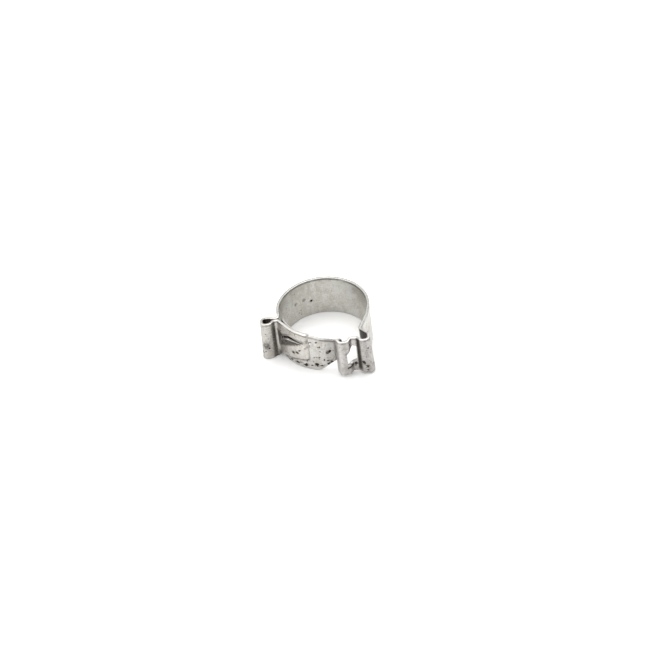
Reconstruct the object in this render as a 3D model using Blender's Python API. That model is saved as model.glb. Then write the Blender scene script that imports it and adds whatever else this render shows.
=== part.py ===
"""Snap-lock hose clamp bent from flat spring strip, standing on its lower band edge, +Z up."""

import math

import bpy
from mathutils import Vector

MM = 0.001

# driving sizes, millimetres
ring_radius = 12.5          # outside of the open ring
strip_width = 12.0
strip_thick = 0.7
edge_round = 0.16
gap = 0.3                   # between neighbouring zones of one strip
tongue_thick = 0.6
tongue_radius = 11.15       # middle of the tongue sheet
mid_radius = ring_radius - strip_thick / 2

# plan angles around the ring axis, degrees, 0 at the front, positive to the right
hinge_right_front = 75.0
hinge_right_middle = 105.0
hinge_right_rear = 150.0
hinge_left_rear = 195.0
hinge_left_middle = 235.0
hinge_left_front = 272.0
foot_start = -67.0
foot_end = -25.0
tongue_start = -65.0
tongue_hinge_one = -22.0
tongue_hinge_two = 0.0
tongue_end = 19.0

# heights as a share of the strip width
tab_top = 0.755
tab_low = 0.31
tab_left = -66.0
tab_right = -31.0
tab_lift = 0.85             # millimetres, top left corner of the flap
weld_height = 0.44
weld_angles = (-47.0, -39.5)
weld_size = 0.45
window_low = 0.32
window_high = 0.77

corner_point = (8.98, -10.72)
jaw_gap = 0.42             # a little wider, the cuts lie in tight bends


def clear_scene():
    for obj in list(bpy.data.objects):
        bpy.data.objects.remove(obj, do_unlink=True)


def polar(radius, angle):
    a = math.radians(angle)
    return (radius * math.sin(a), -radius * math.cos(a))


def arc(radius, start, end, step=2.5):
    count = max(2, int(math.ceil(abs(end - start) / step)))
    return [polar(radius, start + (end - start) * k / count) for k in range(count + 1)]


def fillet(corners):
    """Corner points (x, y, bend radius) turned into a path of straight runs and bends."""
    path = [corners[0][:2]]
    for i in range(1, len(corners) - 1):
        p = Vector(corners[i][:2])
        to_last = Vector(corners[i - 1][:2]) - p
        to_next = Vector(corners[i + 1][:2]) - p
        radius = corners[i][2]
        u = to_last.normalized()
        v = to_next.normalized()
        angle = math.acos(max(-1.0, min(1.0, u.dot(v))))
        if radius <= 0 or angle > math.pi - 0.02:
            path.append((p.x, p.y))
            continue
        reach = radius / math.tan(angle / 2)
        limit = 0.499 * min(to_last.length, to_next.length)
        if reach > limit:
            reach = limit
            radius = reach * math.tan(angle / 2)
        centre = p + (u + v).normalized() * (radius / math.sin(angle / 2))
        first = p + u * reach - centre
        last = p + v * reach - centre
        a0 = math.atan2(first.y, first.x)
        a1 = math.atan2(last.y, last.x)
        turn = (a1 - a0 + math.pi) % (2 * math.pi) - math.pi
        count = max(2, int(math.ceil(abs(math.degrees(turn)) / 12)))
        for k in range(count + 1):
            a = a0 + turn * k / count
            path.append((centre.x + radius * math.cos(a), centre.y + radius * math.sin(a)))
    path.append(corners[-1][:2])
    return path


def scaled(corners):
    return [(x * ring_radius, y * ring_radius, r * ring_radius) for x, y, r in corners]


def lengths(path):
    run = [0.0]
    for a, b in zip(path, path[1:]):
        run.append(run[-1] + math.dist(a, b))
    return run


def point_at(path, run, s):
    for i in range(len(path) - 1):
        if s <= run[i + 1] or i == len(path) - 2:
            f = (s - run[i]) / (run[i + 1] - run[i])
            return tuple(path[i][k] + (path[i + 1][k] - path[i][k]) * f for k in range(2))
    return path[-1]


def cut_path(path, start, end):
    """The stretch of a path between two lengths along it."""
    run = lengths(path)
    inner = [p for p, s in zip(path, run) if start + 0.02 < s < end - 0.02]
    return [point_at(path, run, start)] + inner + [point_at(path, run, end)]


def length_near(path, point):
    run = lengths(path)
    count = 2000
    steps = [run[-1] * k / count for k in range(count + 1)]
    return min(steps, key=lambda s: math.dist(point_at(path, run, s), point))


def ear_path():
    return fillet(
        [polar(mid_radius, -88) + (0,), polar(mid_radius, -85) + (0,)]
        + scaled(
            [
                (-0.985, -0.186, 0.045),
                (-1.085, -0.186, 0.080),
                (-1.160, -0.150, 0.100),
                (-1.335, -0.150, 0.100),
                (-1.335, -0.358, 0.100),
                (-1.170, -0.362, 0.120),
                (-1.085, -0.270, 0.060),
                (-0.965, -0.270, 0.045),
            ]
        )
        + [polar(mid_radius, foot_start) + (0,)]
    )


def jaw_path():
    return fillet(
        [
            polar(mid_radius, hinge_right_front) + (0,),
            polar(1.020 * ring_radius - strip_thick / 2, 66) + (6.0,),
            polar(1.055 * ring_radius - strip_thick / 2, 53) + (6.0,),
        ]
        + scaled(
            [
                (0.715, -0.868, 0.060),
                (0.875, -1.070, 0.100),
                (0.865, -1.255, 0.100),
                (0.705, -1.262, 0.090),
                (0.620, -1.160, 0.060),
                (0.470, -1.140, 0.050),
                (0.395, -1.255, 0.070),
                (0.235, -1.262, 0.075),
                (0.175, -1.115, 0.000),
            ]
        )
    )


def steel(name, colour, roughness):
    material = bpy.data.materials.new(name)
    material.use_nodes = True
    shader = material.node_tree.nodes["Principled BSDF"]
    shader.inputs["Base Color"].default_value = colour + (1.0,)
    shader.inputs["Roughness"].default_value = roughness
    shader.inputs["Metallic"].default_value = 1.0
    material.diffuse_color = colour + (1.0,)
    return material


def edge_section(thick, low, high):
    """Rounded section of the strip: (offset across the sheet, height) pairs."""
    half = thick / 2
    r = min(edge_round, half * 0.9)
    points = []
    for side, level, start in ((1, low, 270), (1, high, 0), (-1, high, 90), (-1, low, 180)):
        centre = (side * (half - r), level + r if level == low else level - r)
        for k in range(4):
            a = math.radians(start + 30 * k)
            points.append((centre[0] + r * math.cos(a), centre[1] + r * math.sin(a)))
    return points


def strip(name, path, material, thick=strip_thick, low=0.0, high=strip_width):
    """A bent strip along a plan path; low and high may be functions of the share of its length."""
    run = lengths(path)
    low_of = low if callable(low) else lambda f: low
    high_of = high if callable(high) else lambda f: high
    vertices = []
    for i, p in enumerate(path):
        before = Vector(path[max(0, i - 1)])
        after = Vector(path[min(len(path) - 1, i + 1)])
        here = Vector(p)
        tangents = [(b - a).normalized() for a, b in ((before, here), (here, after)) if (b - a).length > 1e-9]
        tangent = sum(tangents, Vector((0, 0))).normalized()
        normal = Vector((-tangent.y, tangent.x))
        miter = 1 / max(0.5, normal.dot(Vector((-tangents[0].y, tangents[0].x))))
        share = run[i] / run[-1]
        for offset, height in edge_section(thick, low_of(share), high_of(share)):
            spot = here + normal * (offset * miter)
            vertices.append((spot.x * MM, spot.y * MM, height * MM))
    ring = len(edge_section(thick, 0.0, 1.0))
    faces = []
    for i in range(len(path) - 1):
        for k in range(ring):
            a = i * ring + k
            b = i * ring + (k + 1) % ring
            faces.append((a, b, b + ring, a + ring))
    faces.append(tuple(reversed(range(ring))))
    faces.append(tuple(range((len(path) - 1) * ring, len(path) * ring)))
    return solid(name, vertices, faces, material)


def solid(name, vertices, faces, material):
    mesh = bpy.data.meshes.new(name)
    mesh.from_pydata(vertices, [], faces)
    mesh.validate()
    fix_winding(mesh)
    mesh.materials.append(material)
    obj = bpy.data.objects.new(name, mesh)
    bpy.context.scene.collection.objects.link(obj)
    return obj


def fix_winding(mesh):
    volume = 0.0
    for face in mesh.polygons:
        corners = [mesh.vertices[i].co for i in face.vertices]
        for b, c in zip(corners[1:], corners[2:]):
            volume += corners[0].dot(b.cross(c))
    if volume < 0:
        mesh.flip_normals()
    mesh.shade_smooth()
    mesh.set_sharp_from_angle(angle=math.radians(35))


def levels(points):
    """Height as straight runs through a few (share, height share) points."""
    def height(f):
        for (f0, h0), (f1, h1) in zip(points, points[1:]):
            if f <= f1:
                return strip_width * (h0 + (h1 - h0) * max(0.0, f - f0) / (f1 - f0))
        return strip_width * points[-1][1]
    return height


def band_zone(name, start, end, material):
    trim = math.degrees(gap / 2 / mid_radius)
    return strip(name, arc(mid_radius, start + trim, end - trim), material)


def build_bands(material):
    return {
        "band_flare": build_flare(material),
        "band_right_front": band_zone("band_right_front", hinge_right_front, hinge_right_middle, material),
        "band_right": band_zone("band_right", hinge_right_middle, hinge_right_rear, material),
        "band_back": band_zone("band_back", hinge_right_rear, hinge_left_rear, material),
        "band_left": band_zone("band_left", hinge_left_rear, hinge_left_middle, material),
        "band_left_front": band_zone("band_left_front", hinge_left_middle, hinge_left_front, material),
    }


def build_flare(material):
    path = jaw_path()
    return strip("band_flare", cut_path(path, gap / 2, length_near(path, corner_point) - jaw_gap / 2), material)


def build_ear(material):
    path = ear_path()
    total = lengths(path)[-1]
    return strip("grip_ear", cut_path(path, gap / 2, total - gap / 2), material)


def build_foot(material):
    trim = math.degrees(gap / 2 / mid_radius)
    span = foot_end - foot_start
    marks = ((foot_start, 0.02), (-64, 0.13), (-58, 0.21), (-46, 0.28), (-36, 0.29), (foot_end, 0.31))
    low = levels([((a - foot_start) / span, h) for a, h in marks])
    foot = strip("latch_foot", arc(mid_radius, foot_start + trim, foot_end), material, low=low)
    cut(foot, tab_opening())
    for index, angle in enumerate(weld_angles):
        cut(foot, weld_disc("weld_hole_%d" % (index + 1), angle, weld_size + 0.25, 11.4, 13.0, None))
    return foot


def fold_height(angle):
    share = (angle - tab_left) / (tab_right - tab_left)
    return strip_width * (tab_low + (tab_top - 0.035 - tab_low) * share)


def tab_grid(name, left, right, top, drop, inner, outer, lift, material, steps=12, rows=5):
    """Curved triangular plate between the fold line and the top edge."""
    vertices = []
    for side in (inner, outer):
        for i in range(steps + 1):
            angle = left + (right - left) * i / steps
            base = fold_height(angle) - drop
            for j in range(rows + 1):
                z = base + (top - base) * j / rows
                raised = lift * (z - base) / (top - fold_height(left))
                x, y = polar(side + raised, angle)
                vertices.append((x * MM, y * MM, z * MM))
    layer = (steps + 1) * (rows + 1)

    def at(side, i, j):
        return side * layer + i * (rows + 1) + j

    faces = []
    for i in range(steps):
        for j in range(rows):
            faces.append((at(0, i, j), at(0, i, j + 1), at(0, i + 1, j + 1), at(0, i + 1, j)))
            faces.append((at(1, i, j), at(1, i + 1, j), at(1, i + 1, j + 1), at(1, i, j + 1)))
        faces.append((at(0, i, 0), at(0, i + 1, 0), at(1, i + 1, 0), at(1, i, 0)))
        faces.append((at(0, i, rows), at(1, i, rows), at(1, i + 1, rows), at(0, i + 1, rows)))
    for j in range(rows):
        faces.append((at(0, 0, j), at(1, 0, j), at(1, 0, j + 1), at(0, 0, j + 1)))
        faces.append((at(0, steps, j), at(0, steps, j + 1), at(1, steps, j + 1), at(1, steps, j)))
    return solid(name, vertices, faces, material)


def tab_opening():
    top = strip_width * tab_top + gap
    opening = tab_grid("tab_opening", tab_left - 1.4, tab_right + 1.4, top, gap, 11.0, 13.4, 0.0, None)
    return hide_cutter(opening)


def build_tab(material):
    half = strip_thick / 2
    top = strip_width * tab_top
    inner = mid_radius - half + 0.05
    return tab_grid("locking_tab", tab_left, tab_right, top, 0.0, inner, inner + 0.55, tab_lift, material)


def weld_disc(name, angle, size, inner, outer, material):
    """Short round plug lying along a radius of the ring."""
    sides = 20
    a = math.radians(angle)
    across = Vector((math.cos(a), math.sin(a), 0))
    out = Vector((math.sin(a), -math.cos(a), 0))
    centre = Vector((0, 0, strip_width * weld_height))
    vertices = []
    for radius in (inner, outer):
        for k in range(sides):
            t = 2 * math.pi * k / sides
            spot = centre + out * radius + across * (size * math.cos(t)) + Vector((0, 0, size * math.sin(t)))
            vertices.append(spot * MM)
    faces = [tuple(reversed(range(sides))), tuple(range(sides, 2 * sides))]
    for k in range(sides):
        n = (k + 1) % sides
        faces.append((k, n, n + sides, k + sides))
    obj = solid(name, [tuple(v) for v in vertices], faces, material) if material else None
    return obj if material else hide_cutter(solid_plain(name, vertices, faces))


def solid_plain(name, vertices, faces):
    mesh = bpy.data.meshes.new(name)
    mesh.from_pydata([tuple(v) for v in vertices], [], faces)
    fix_winding(mesh)
    obj = bpy.data.objects.new(name, mesh)
    bpy.context.scene.collection.objects.link(obj)
    return obj


def build_welds(material):
    names = ("weld_left", "weld_right")
    return [
        weld_disc(name, angle, weld_size, mid_radius - 0.30, mid_radius + 0.25, material)
        for name, angle in zip(names, weld_angles)
    ]


def tongue_zone(name, start, end, low, high, material):
    trim = math.degrees(gap / 2 / tongue_radius)
    path = arc(tongue_radius, start + trim, end - trim)
    return strip(name, path, material, thick=tongue_thick, low=low, high=high)


def build_tongue(material):
    root = tongue_zone("tongue_root", tongue_start, tongue_hinge_one, 0.0, strip_width, material)
    middle = tongue_zone(
        "tongue_middle", tongue_hinge_one, tongue_hinge_two,
        levels([(0, 0.0), (0.3, 0.01), (0.82, 0.14), (1, 0.18)]),
        levels([(0, 1.0), (0.3, 0.995), (0.82, 0.87), (1, 0.845)]),
        material,
    )
    tip = tongue_zone(
        "tongue_tip", tongue_hinge_two, tongue_end,
        levels([(0, 0.18), (0.5, 0.24), (0.85, 0.27), (0.95, 0.30), (1, 0.36)]),
        levels([(0, 0.845), (0.5, 0.81), (0.85, 0.79), (0.95, 0.76), (1, 0.70)]),
        material,
    )
    return [root, middle, tip]


def build_jaw(material):
    path = jaw_path()
    start = length_near(path, corner_point)
    lug_end = length_near(path, (0.665 * ring_radius, -1.212 * ring_radius))
    hook_start = length_near(path, (0.405 * ring_radius, -1.240 * ring_radius))
    total = lengths(path)[-1]
    lug = strip("grip_lug", cut_path(path, start + jaw_gap / 2, lug_end - gap / 2), material)
    web = strip("release_web", cut_path(path, lug_end + gap / 2, hook_start - jaw_gap / 2), material)
    hook = strip("latch_hook", cut_path(path, hook_start + jaw_gap / 2, total), material)
    cut(web, window_cutter())
    return [lug, web, hook]


def window_cutter():
    """Upright slot with one slanted upper corner, passed through the web."""
    left = 0.432 * ring_radius
    right = 0.612 * ring_radius
    low = strip_width * window_low
    high = strip_width * window_high
    outline = [(left, low + 0.4), (left + 0.4, low), (right - 0.4, low), (right, low + 0.4)]
    outline += [(right, high - 0.4), (right - 0.4, high), (left + 0.9, high), (left, high - 2.0)]
    vertices = [(x * MM, y * ring_radius * MM, z * MM) for y in (-1.34, -1.05) for x, z in outline]
    n = len(outline)
    faces = [tuple(range(n)), tuple(reversed(range(n, 2 * n)))]
    for k in range(n):
        faces.append((k, k + n, (k + 1) % n + n, (k + 1) % n))
    return hide_cutter(solid_plain("web_window", vertices, faces))


def hide_cutter(obj):
    obj.hide_render = True
    obj.display_type = "WIRE"
    return obj


def cut(target, cutter):
    modifier = target.modifiers.new("cut_" + cutter.name, "BOOLEAN")
    modifier.operation = "DIFFERENCE"
    modifier.solver = "EXACT"
    modifier.object = cutter


def pivot(name, x, y, parent):
    empty = bpy.data.objects.new(name, None)
    empty.empty_display_size = 0.003
    bpy.context.scene.collection.objects.link(empty)
    empty.location = (x * MM, y * MM, 0)
    attach(empty, parent)
    return empty


def attach(obj, parent):
    bpy.context.view_layer.update()
    place = obj.matrix_world.copy()
    obj.parent = parent
    obj.matrix_parent_inverse = parent.matrix_world.inverted() if parent else obj.matrix_parent_inverse
    obj.matrix_world = place


def plan_centre():
    """Middle of the clamp's box in plan, so the finished part stands centred on the origin."""
    half = strip_thick / 2
    left = min(x for x, y in ear_path()) - half
    front = min(y for x, y in jaw_path()) - half
    return (left + ring_radius) / 2, (front + ring_radius) / 2


def main():
    clear_scene()
    band_steel = steel("band_steel", (0.62, 0.61, 0.59), 0.30)
    jaw_steel = steel("jaw_steel", (0.58, 0.57, 0.55), 0.36)
    foot_steel = steel("foot_steel", (0.56, 0.54, 0.51), 0.40)
    tab_steel = steel("tab_steel", (0.40, 0.38, 0.35), 0.50)
    weld_steel = steel("weld_steel", (0.24, 0.20, 0.17), 0.60)
    tongue_steel = steel("tongue_steel", (0.50, 0.48, 0.45), 0.45)

    bands = build_bands(band_steel)
    ear = build_ear(band_steel)
    foot = build_foot(foot_steel)
    tab = build_tab(tab_steel)
    welds = build_welds(weld_steel)
    root, middle, tip = build_tongue(tongue_steel)
    jaw = build_jaw(jaw_steel)

    frame = pivot("clamp_frame", 0, 0, None)
    right_rear = pivot("pivot_right_rear", *polar(mid_radius, hinge_right_rear), frame)
    right_middle = pivot("pivot_right_middle", *polar(mid_radius, hinge_right_middle), right_rear)
    right_front = pivot("pivot_right_front", *polar(mid_radius, hinge_right_front), right_middle)
    snap = pivot("pivot_snap", *corner_point, right_front)
    left_rear = pivot("pivot_left_rear", *polar(mid_radius, hinge_left_rear), frame)
    left_middle = pivot("pivot_left_middle", *polar(mid_radius, hinge_left_middle), left_rear)
    left_front = pivot("pivot_left_front", *polar(mid_radius, hinge_left_front), left_middle)
    tongue_one = pivot("pivot_tongue_one", *polar(tongue_radius, tongue_hinge_one), left_front)
    tongue_two = pivot("pivot_tongue_two", *polar(tongue_radius, tongue_hinge_two), tongue_one)

    carried = {
        frame: [bands["band_back"]],
        right_rear: [bands["band_right"]],
        right_middle: [bands["band_right_front"]],
        right_front: [bands["band_flare"]],
        snap: jaw,
        left_rear: [bands["band_left"]],
        left_middle: [bands["band_left_front"]],
        left_front: [ear, foot, tab, root] + welds,
        tongue_one: [middle],
        tongue_two: [tip],
    }
    for parent, pieces in carried.items():
        for piece in pieces:
            attach(piece, parent)
    for obj in bpy.data.objects:
        if obj.hide_render:
            attach(obj, frame)
    x, y = plan_centre()
    frame.location = (-x * MM, -y * MM, 0)
    bpy.context.view_layer.update()


main()
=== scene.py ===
import bisect
import math

import bpy
import numpy as np
from mathutils import Matrix, Vector
from mathutils.geometry import delaunay_2d_cdt


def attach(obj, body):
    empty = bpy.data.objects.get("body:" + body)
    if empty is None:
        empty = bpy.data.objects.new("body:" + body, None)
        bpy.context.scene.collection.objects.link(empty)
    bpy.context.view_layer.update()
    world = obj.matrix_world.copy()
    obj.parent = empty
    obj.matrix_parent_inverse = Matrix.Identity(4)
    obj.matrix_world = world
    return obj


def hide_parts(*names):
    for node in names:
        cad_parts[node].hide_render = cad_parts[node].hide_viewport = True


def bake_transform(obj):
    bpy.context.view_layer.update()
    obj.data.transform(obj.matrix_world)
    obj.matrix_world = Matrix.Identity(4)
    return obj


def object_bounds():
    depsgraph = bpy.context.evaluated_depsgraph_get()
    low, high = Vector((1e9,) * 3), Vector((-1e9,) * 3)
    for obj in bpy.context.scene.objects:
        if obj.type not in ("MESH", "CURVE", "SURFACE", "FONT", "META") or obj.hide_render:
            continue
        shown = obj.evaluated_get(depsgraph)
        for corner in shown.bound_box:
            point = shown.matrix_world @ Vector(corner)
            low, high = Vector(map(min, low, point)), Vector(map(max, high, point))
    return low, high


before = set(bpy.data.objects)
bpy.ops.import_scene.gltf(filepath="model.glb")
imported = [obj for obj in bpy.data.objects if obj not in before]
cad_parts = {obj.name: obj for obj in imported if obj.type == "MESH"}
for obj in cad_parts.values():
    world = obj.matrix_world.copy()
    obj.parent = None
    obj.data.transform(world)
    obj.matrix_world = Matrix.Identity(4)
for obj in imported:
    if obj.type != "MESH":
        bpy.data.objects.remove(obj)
cadLow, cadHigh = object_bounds()
mm = 0.001

stripShape = {
    "ringRadius": 12.5,  # outside of the open ring, in millimetres like all shapes here
    "width": 12.0,
    "thick": 0.76,
    "rimRound": 0.15,
    "columnStep": 0.42,
    "rowStep": 0.46,
}
ringRadius = stripShape["ringRadius"]
width = stripShape["width"]
midRadius = ringRadius - stripShape["thick"] / 2
ringCentre = Vector((cadHigh.x / mm - ringRadius, cadHigh.y / mm - ringRadius))


def polar(radius, angle):
    a = math.radians(angle)
    return (radius * math.sin(a), -radius * math.cos(a))


def arcLine(radius, start, end, step=1.5):
    count = max(2, math.ceil(abs(end - start) / step))
    return [polar(radius, start + (end - start) * k / count) for k in range(count + 1)]


def filletLine(corners, turnStep=6, closed=False):
    # corners are (x, y, bend radius); the result is straight runs joined by true arcs
    count = len(corners)
    line = [] if closed else [tuple(corners[0][:2])]
    for i in range(0 if closed else 1, count if closed else count - 1):
        here = Vector(corners[i][:2])
        back = Vector(corners[i - 1][:2]) - here
        ahead = Vector(corners[(i + 1) % count][:2]) - here
        radius = corners[i][2]
        u, v = back.normalized(), ahead.normalized()
        angle = math.acos(max(-1.0, min(1.0, u.dot(v))))
        if radius <= 0 or angle > math.pi - 0.02:
            line.append(tuple(here))
            continue
        reach = min(radius / math.tan(angle / 2), 0.499 * min(back.length, ahead.length))
        radius = reach * math.tan(angle / 2)
        centre = here + (u + v).normalized() * (radius / math.sin(angle / 2))
        first, last = here + u * reach - centre, here + v * reach - centre
        a0 = math.atan2(first.y, first.x)
        turn = (math.atan2(last.y, last.x) - a0 + math.pi) % (2 * math.pi) - math.pi
        steps = max(2, math.ceil(abs(math.degrees(turn)) / turnStep))
        for k in range(steps + 1):
            a = a0 + turn * k / steps
            line.append((centre.x + radius * math.cos(a), centre.y + radius * math.sin(a)))
    if not closed:
        line.append(tuple(corners[-1][:2]))
    return line


def inRadii(corners):
    return [(x * ringRadius, y * ringRadius, r * ringRadius) for x, y, r in corners]


def makePath(points):
    # drops doubled points, then keeps the running length and the outward side at each one
    clean = [Vector(points[0])]
    for p in points[1:]:
        if (Vector(p) - clean[-1]).length > 0.004:
            clean.append(Vector(p))
    runs = [0.0]
    for a, b in zip(clean, clean[1:]):
        runs.append(runs[-1] + (b - a).length)
    sides = []
    for i in range(len(clean)):
        tangent = Vector((0, 0))
        if i > 0:
            tangent += (clean[i] - clean[i - 1]).normalized()
        if i < len(clean) - 1:
            tangent += (clean[i + 1] - clean[i]).normalized()
        tangent.normalize()
        sides.append(Vector((tangent.y, -tangent.x)))
    return {"points": clean, "runs": runs, "sides": sides}


def spotOn(path, s):
    runs = path["runs"]
    i = min(max(bisect.bisect_right(runs, s) - 1, 0), len(runs) - 2)
    f = (s - runs[i]) / (runs[i + 1] - runs[i])
    point = path["points"][i].lerp(path["points"][i + 1], f)
    side = path["sides"][i].lerp(path["sides"][i + 1], f)
    return point, side.normalized()


def bendAt(path, s, reach=0.35):
    # turning per millimetre, positive where the outer face is a crest
    first, last = path["runs"][0], path["runs"][-1]
    a, b = max(first, s - reach), min(last, s + reach)
    ta, tb = spotOn(path, a)[1], spotOn(path, b)[1]
    return math.atan2(ta.x * tb.y - ta.y * tb.x, ta.dot(tb)) / max(b - a, 0.01)


def smooth(low, high, value):
    f = max(0.0, min(1.0, (value - low) / (high - low)))
    return f * f * (3 - 2 * f)


def nearestRun(path, point):
    count = 4000
    total = path["runs"][-1]
    return min((total * k / count for k in range(count + 1)), key=lambda s: (spotOn(path, s)[0] - Vector(point)).length)


jawShape = {
    "flare": [(1.020, 66, 6.0), (1.055, 53, 6.0)],  # ring radius share, angle, bend radius
    "bends": [
        (0.715, -0.868, 0.060),
        (0.875, -1.070, 0.100),
        (0.865, -1.255, 0.100),
        (0.705, -1.262, 0.090),
        (0.620, -1.160, 0.060),
        (0.470, -1.140, 0.050),
        (0.395, -1.255, 0.070),
        (0.235, -1.262, 0.075),
        (0.175, -1.115, 0.000),
    ],
    "corner": (8.98, -10.72),
    # run from the lip, height share and corner radius, round the window
    "window": [
        (3.42, 0.332, 0.25), (3.42, 0.62, 0.6), (4.55, 0.742, 0.8), (5.75, 0.788, 0.5),
        (6.80, 0.760, 0.35), (6.74, 0.374, 0.30), (4.90, 0.300, 1.0),
    ],
    "lowEdge": [(14.5, 0.0), (13.0, 0.014), (9.8, 0.040), (6.4, 0.066), (2.8, 0.046), (0.0, 0.050)],
    "lean": (0.40, -0.20),  # sideways at the lower and the upper edge of the lug
}
earShape = {
    "bends": [
        (-0.985, -0.186, 0.045),
        (-1.085, -0.186, 0.080),
        (-1.160, -0.150, 0.100),
        (-1.335, -0.150, 0.100),
        (-1.335, -0.358, 0.100),
        (-1.170, -0.362, 0.120),
        (-1.085, -0.270, 0.060),
        (-0.988, -0.262, 0.045),
    ],
    "ringEnd": 275.0,
    "footStart": -58.0,
    "footEnd": -25.0,
    "lean": -0.50,  # sideways at the lower edge
}


def wholeStrip():
    thickHalf = stripShape["thick"] / 2
    flare = [polar(share * ringRadius - thickHalf, angle) + (r,) for share, angle, r in jawShape["flare"]]
    jaw = filletLine([polar(midRadius, 75) + (0,)] + flare + inRadii(jawShape["bends"]))
    ring = arcLine(midRadius, 75, 272)
    neck = [polar(midRadius, 272) + (0,), polar(midRadius, earShape["ringEnd"]) + (0,)]
    ear = filletLine(neck + inRadii(earShape["bends"]) + [polar(midRadius, earShape["footStart"]) + (0,)])
    foot = arcLine(midRadius, earShape["footStart"], earShape["footEnd"])
    return makePath(jaw[::-1] + ring + ear + foot)


strip = wholeStrip()
ringStartRun = nearestRun(strip, polar(midRadius, 75))


def runAtAngle(angle):
    return ringStartRun + midRadius * math.radians(angle - 75)


footStartRun = nearestRun(strip, polar(midRadius, earShape["footStart"]))


def footRun(angle):
    return footStartRun + midRadius * math.radians(angle - earShape["footStart"])


def insetLine(line, distance, closed):
    # every point moves to its left, which is where the metal is
    moved = []
    count = len(line)
    for i, p in enumerate(line):
        here = Vector(p)
        normals = []
        for a, b in ((i - 1, i), (i, i + 1)):
            if closed or (a >= 0 and b < count):
                step = Vector(line[b % count]) - Vector(line[a % count])
                if step.length > 1e-6:
                    step.normalize()
                    normals.append(Vector((-step.y, step.x)))
        mean = sum(normals, Vector((0, 0))).normalized()
        stretch = 1 / max(0.6, mean.dot(normals[0]))
        moved.append(tuple(here + mean * (distance * stretch)))
    return moved


def refineLine(line, step, closed):
    out = []
    pairs = list(zip(line, line[1:] + line[:1])) if closed else list(zip(line, line[1:]))
    for a, b in pairs:
        count = max(1, math.ceil(math.dist(a, b) / step))
        out += [(a[0] + (b[0] - a[0]) * k / count, a[1] + (b[1] - a[1]) * k / count) for k in range(count)]
    return out if closed else out + [line[-1]]


def distanceTo(lines, points):
    best = np.full(len(points), 1e9)
    for line, closed in lines:
        ring = np.array(line + line[:1] if closed else line, float)
        for a, b in zip(ring[:-1], ring[1:]):
            d = b - a
            t = np.clip(((points - a) @ d) / max(d @ d, 1e-12), 0, 1)
            best = np.minimum(best, np.linalg.norm(points - a - t[:, None] * d, axis=1))
    return best


def insideOf(outline, points):
    ring = np.array(outline, float)
    inside = np.zeros(len(points), bool)
    x, y = points[:, 0], points[:, 1]
    for (ax, ay), (bx, by) in zip(ring, np.roll(ring, -1, axis=0)):
        crosses = (ay > y) != (by > y)
        with np.errstate(divide="ignore", invalid="ignore"):
            at = (bx - ax) * (y - ay) / (by - ay) + ax
        inside ^= crosses & (x < at)
    return inside


def columnsBetween(path, start, end, step):
    stops = [start] + [s for s in path["runs"] if start + 0.03 < s < end - 0.03] + [end]
    out = []
    for a, b in zip(stops, stops[1:]):
        count = max(1, math.ceil((b - a) / step))
        out += [a + (b - a) * k / count for k in range(count)]
    return out + [end]


def buildSheet(name, path, start, end, rims, holes=(), thick=None, lift=None, dent=None, soil=None, shadeAndGrime=None, extra=()):
    # rims run with the metal on their left from one cut to the next; holes are closed lines the other way round
    thick = thick or stripShape["thick"]
    roundOff = min(stripShape["rimRound"], thick * 0.45)
    columns = columnsBetween(path, start, end, stripShape["columnStep"])
    levels = [roundOff * (1 - math.cos(math.radians(a))) for a in (0, 30, 60, 90)]
    rims = [snapLine(line, columns) for line in rims]
    holes = [refineLine(list(line), 0.16, True) for line in holes]
    outline = [p for line in rims for p in line]
    points, edges = [], []

    def addLine(line, closed):
        first = len(points)
        points.extend(line)
        edges.extend((first + k, first + k + 1) for k in range(len(line) - 1))
        if closed:
            edges.append((first + len(line) - 1, first))
        return first, first + len(line) - 1

    ends = []
    for line in rims:
        ends.append([addLine(insetLine(line, d, False) if d else line, False) for d in levels])
    for line in holes:
        for d in levels:
            addLine(insetLine(line, d, True) if d else line, True)
    for i in range(len(rims)):
        leaving = [pair[1] for pair in ends[i]]
        arriving = [pair[0] for pair in ends[(i + 1) % len(rims)]]
        a, b = points[leaving[-1]], points[arriving[-1]]
        count = max(1, round(math.dist(a, b) / stripShape["rowStep"]))
        between = []
        for k in range(1, count):
            between.append(len(points))
            points.append((a[0] + (b[0] - a[0]) * k / count, a[1] + (b[1] - a[1]) * k / count))
        chain = leaving + between + arriving[::-1]
        edges.extend(zip(chain, chain[1:]))
    grid = [(s, width * (k + 0.5) / 26) for s in columns[1:-1] for k in range(26)]
    grid = np.array(grid + list(extra), float)
    walls = [(line, False) for line in rims] + [(line, True) for line in holes]
    free = insideOf(outline, grid) & (distanceTo(walls, grid) > roundOff + 0.14)
    for line in holes:
        free &= ~insideOf(line, grid)
    points.extend(map(tuple, grid[free]))
    flat, _, triangles, *_ = delaunay_2d_cdt([Vector(p) for p in points], edges, [], 0, 1e-5)
    flat = np.array([tuple(v) for v in flat], float)
    triangles = np.array([tuple(t) for t in triangles if len(t) == 3])
    centres = flat[triangles].mean(axis=1)
    keep = insideOf(outline, centres)
    for line in holes:
        keep &= ~insideOf(line, centres)
    a, b, c = (flat[triangles[:, k]] for k in range(3))
    area = (b[:, 0] - a[:, 0]) * (c[:, 1] - a[:, 1]) - (b[:, 1] - a[:, 1]) * (c[:, 0] - a[:, 0])
    keep &= np.abs(area) > 1e-7
    triangles, area = triangles[keep], area[keep]
    triangles[area < 0] = triangles[area < 0][:, ::-1]
    used = np.unique(triangles)
    index = np.full(len(flat), -1)
    index[used] = np.arange(len(used))
    flat, triangles = flat[used], index[triangles]
    rimGap = distanceTo(walls, flat)
    inner = np.clip(roundOff - rimGap, 0, roundOff)
    half = thick / 2 - roundOff + np.sqrt(np.maximum(roundOff**2 - inner**2, 0))
    return sheetObject(name, path, flat, triangles, rimGap, half, lift, dent, soil, shadeAndGrime)


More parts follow.
